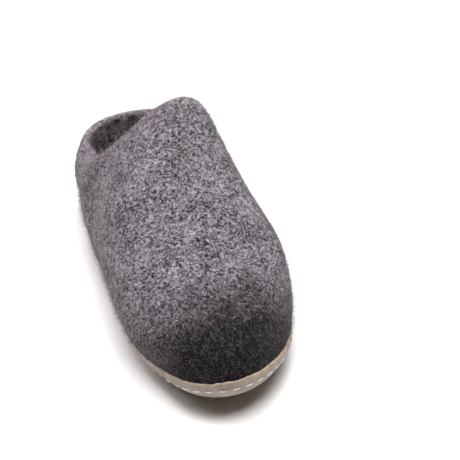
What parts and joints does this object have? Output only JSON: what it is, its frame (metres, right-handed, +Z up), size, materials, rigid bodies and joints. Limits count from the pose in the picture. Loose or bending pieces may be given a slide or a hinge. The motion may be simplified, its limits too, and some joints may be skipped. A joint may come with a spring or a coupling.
{
  "type": "felt slipper",
  "caption": "Closed-toe wool felt slip-on slipper with a low heel collar, on a turned-up leather sole sewn round its rim.",
  "frame": {"origin": "on the floor, at the middle of the bounding box's underside", "axes": "+Z up, +Y towards the heel, -Y towards the toe, +X towards the big toe's side of this right slipper"},
  "size_m": [0.109, 0.2764, 0.1267],
  "materials": {
    "grey_felt": "matte melange wool felt, charcoal and pale grey fibres, fuzzy",
    "cream_leather": "matte cream suede leather with a raw tan edge and white stitches",
    "insole_felt": "matte dark grey pressed felt"
  },
  "bodies": {
    "root": {"upper": "grey_felt", "outsole": "cream_leather", "insole": "insole_felt"}
  },
  "joints": []
}
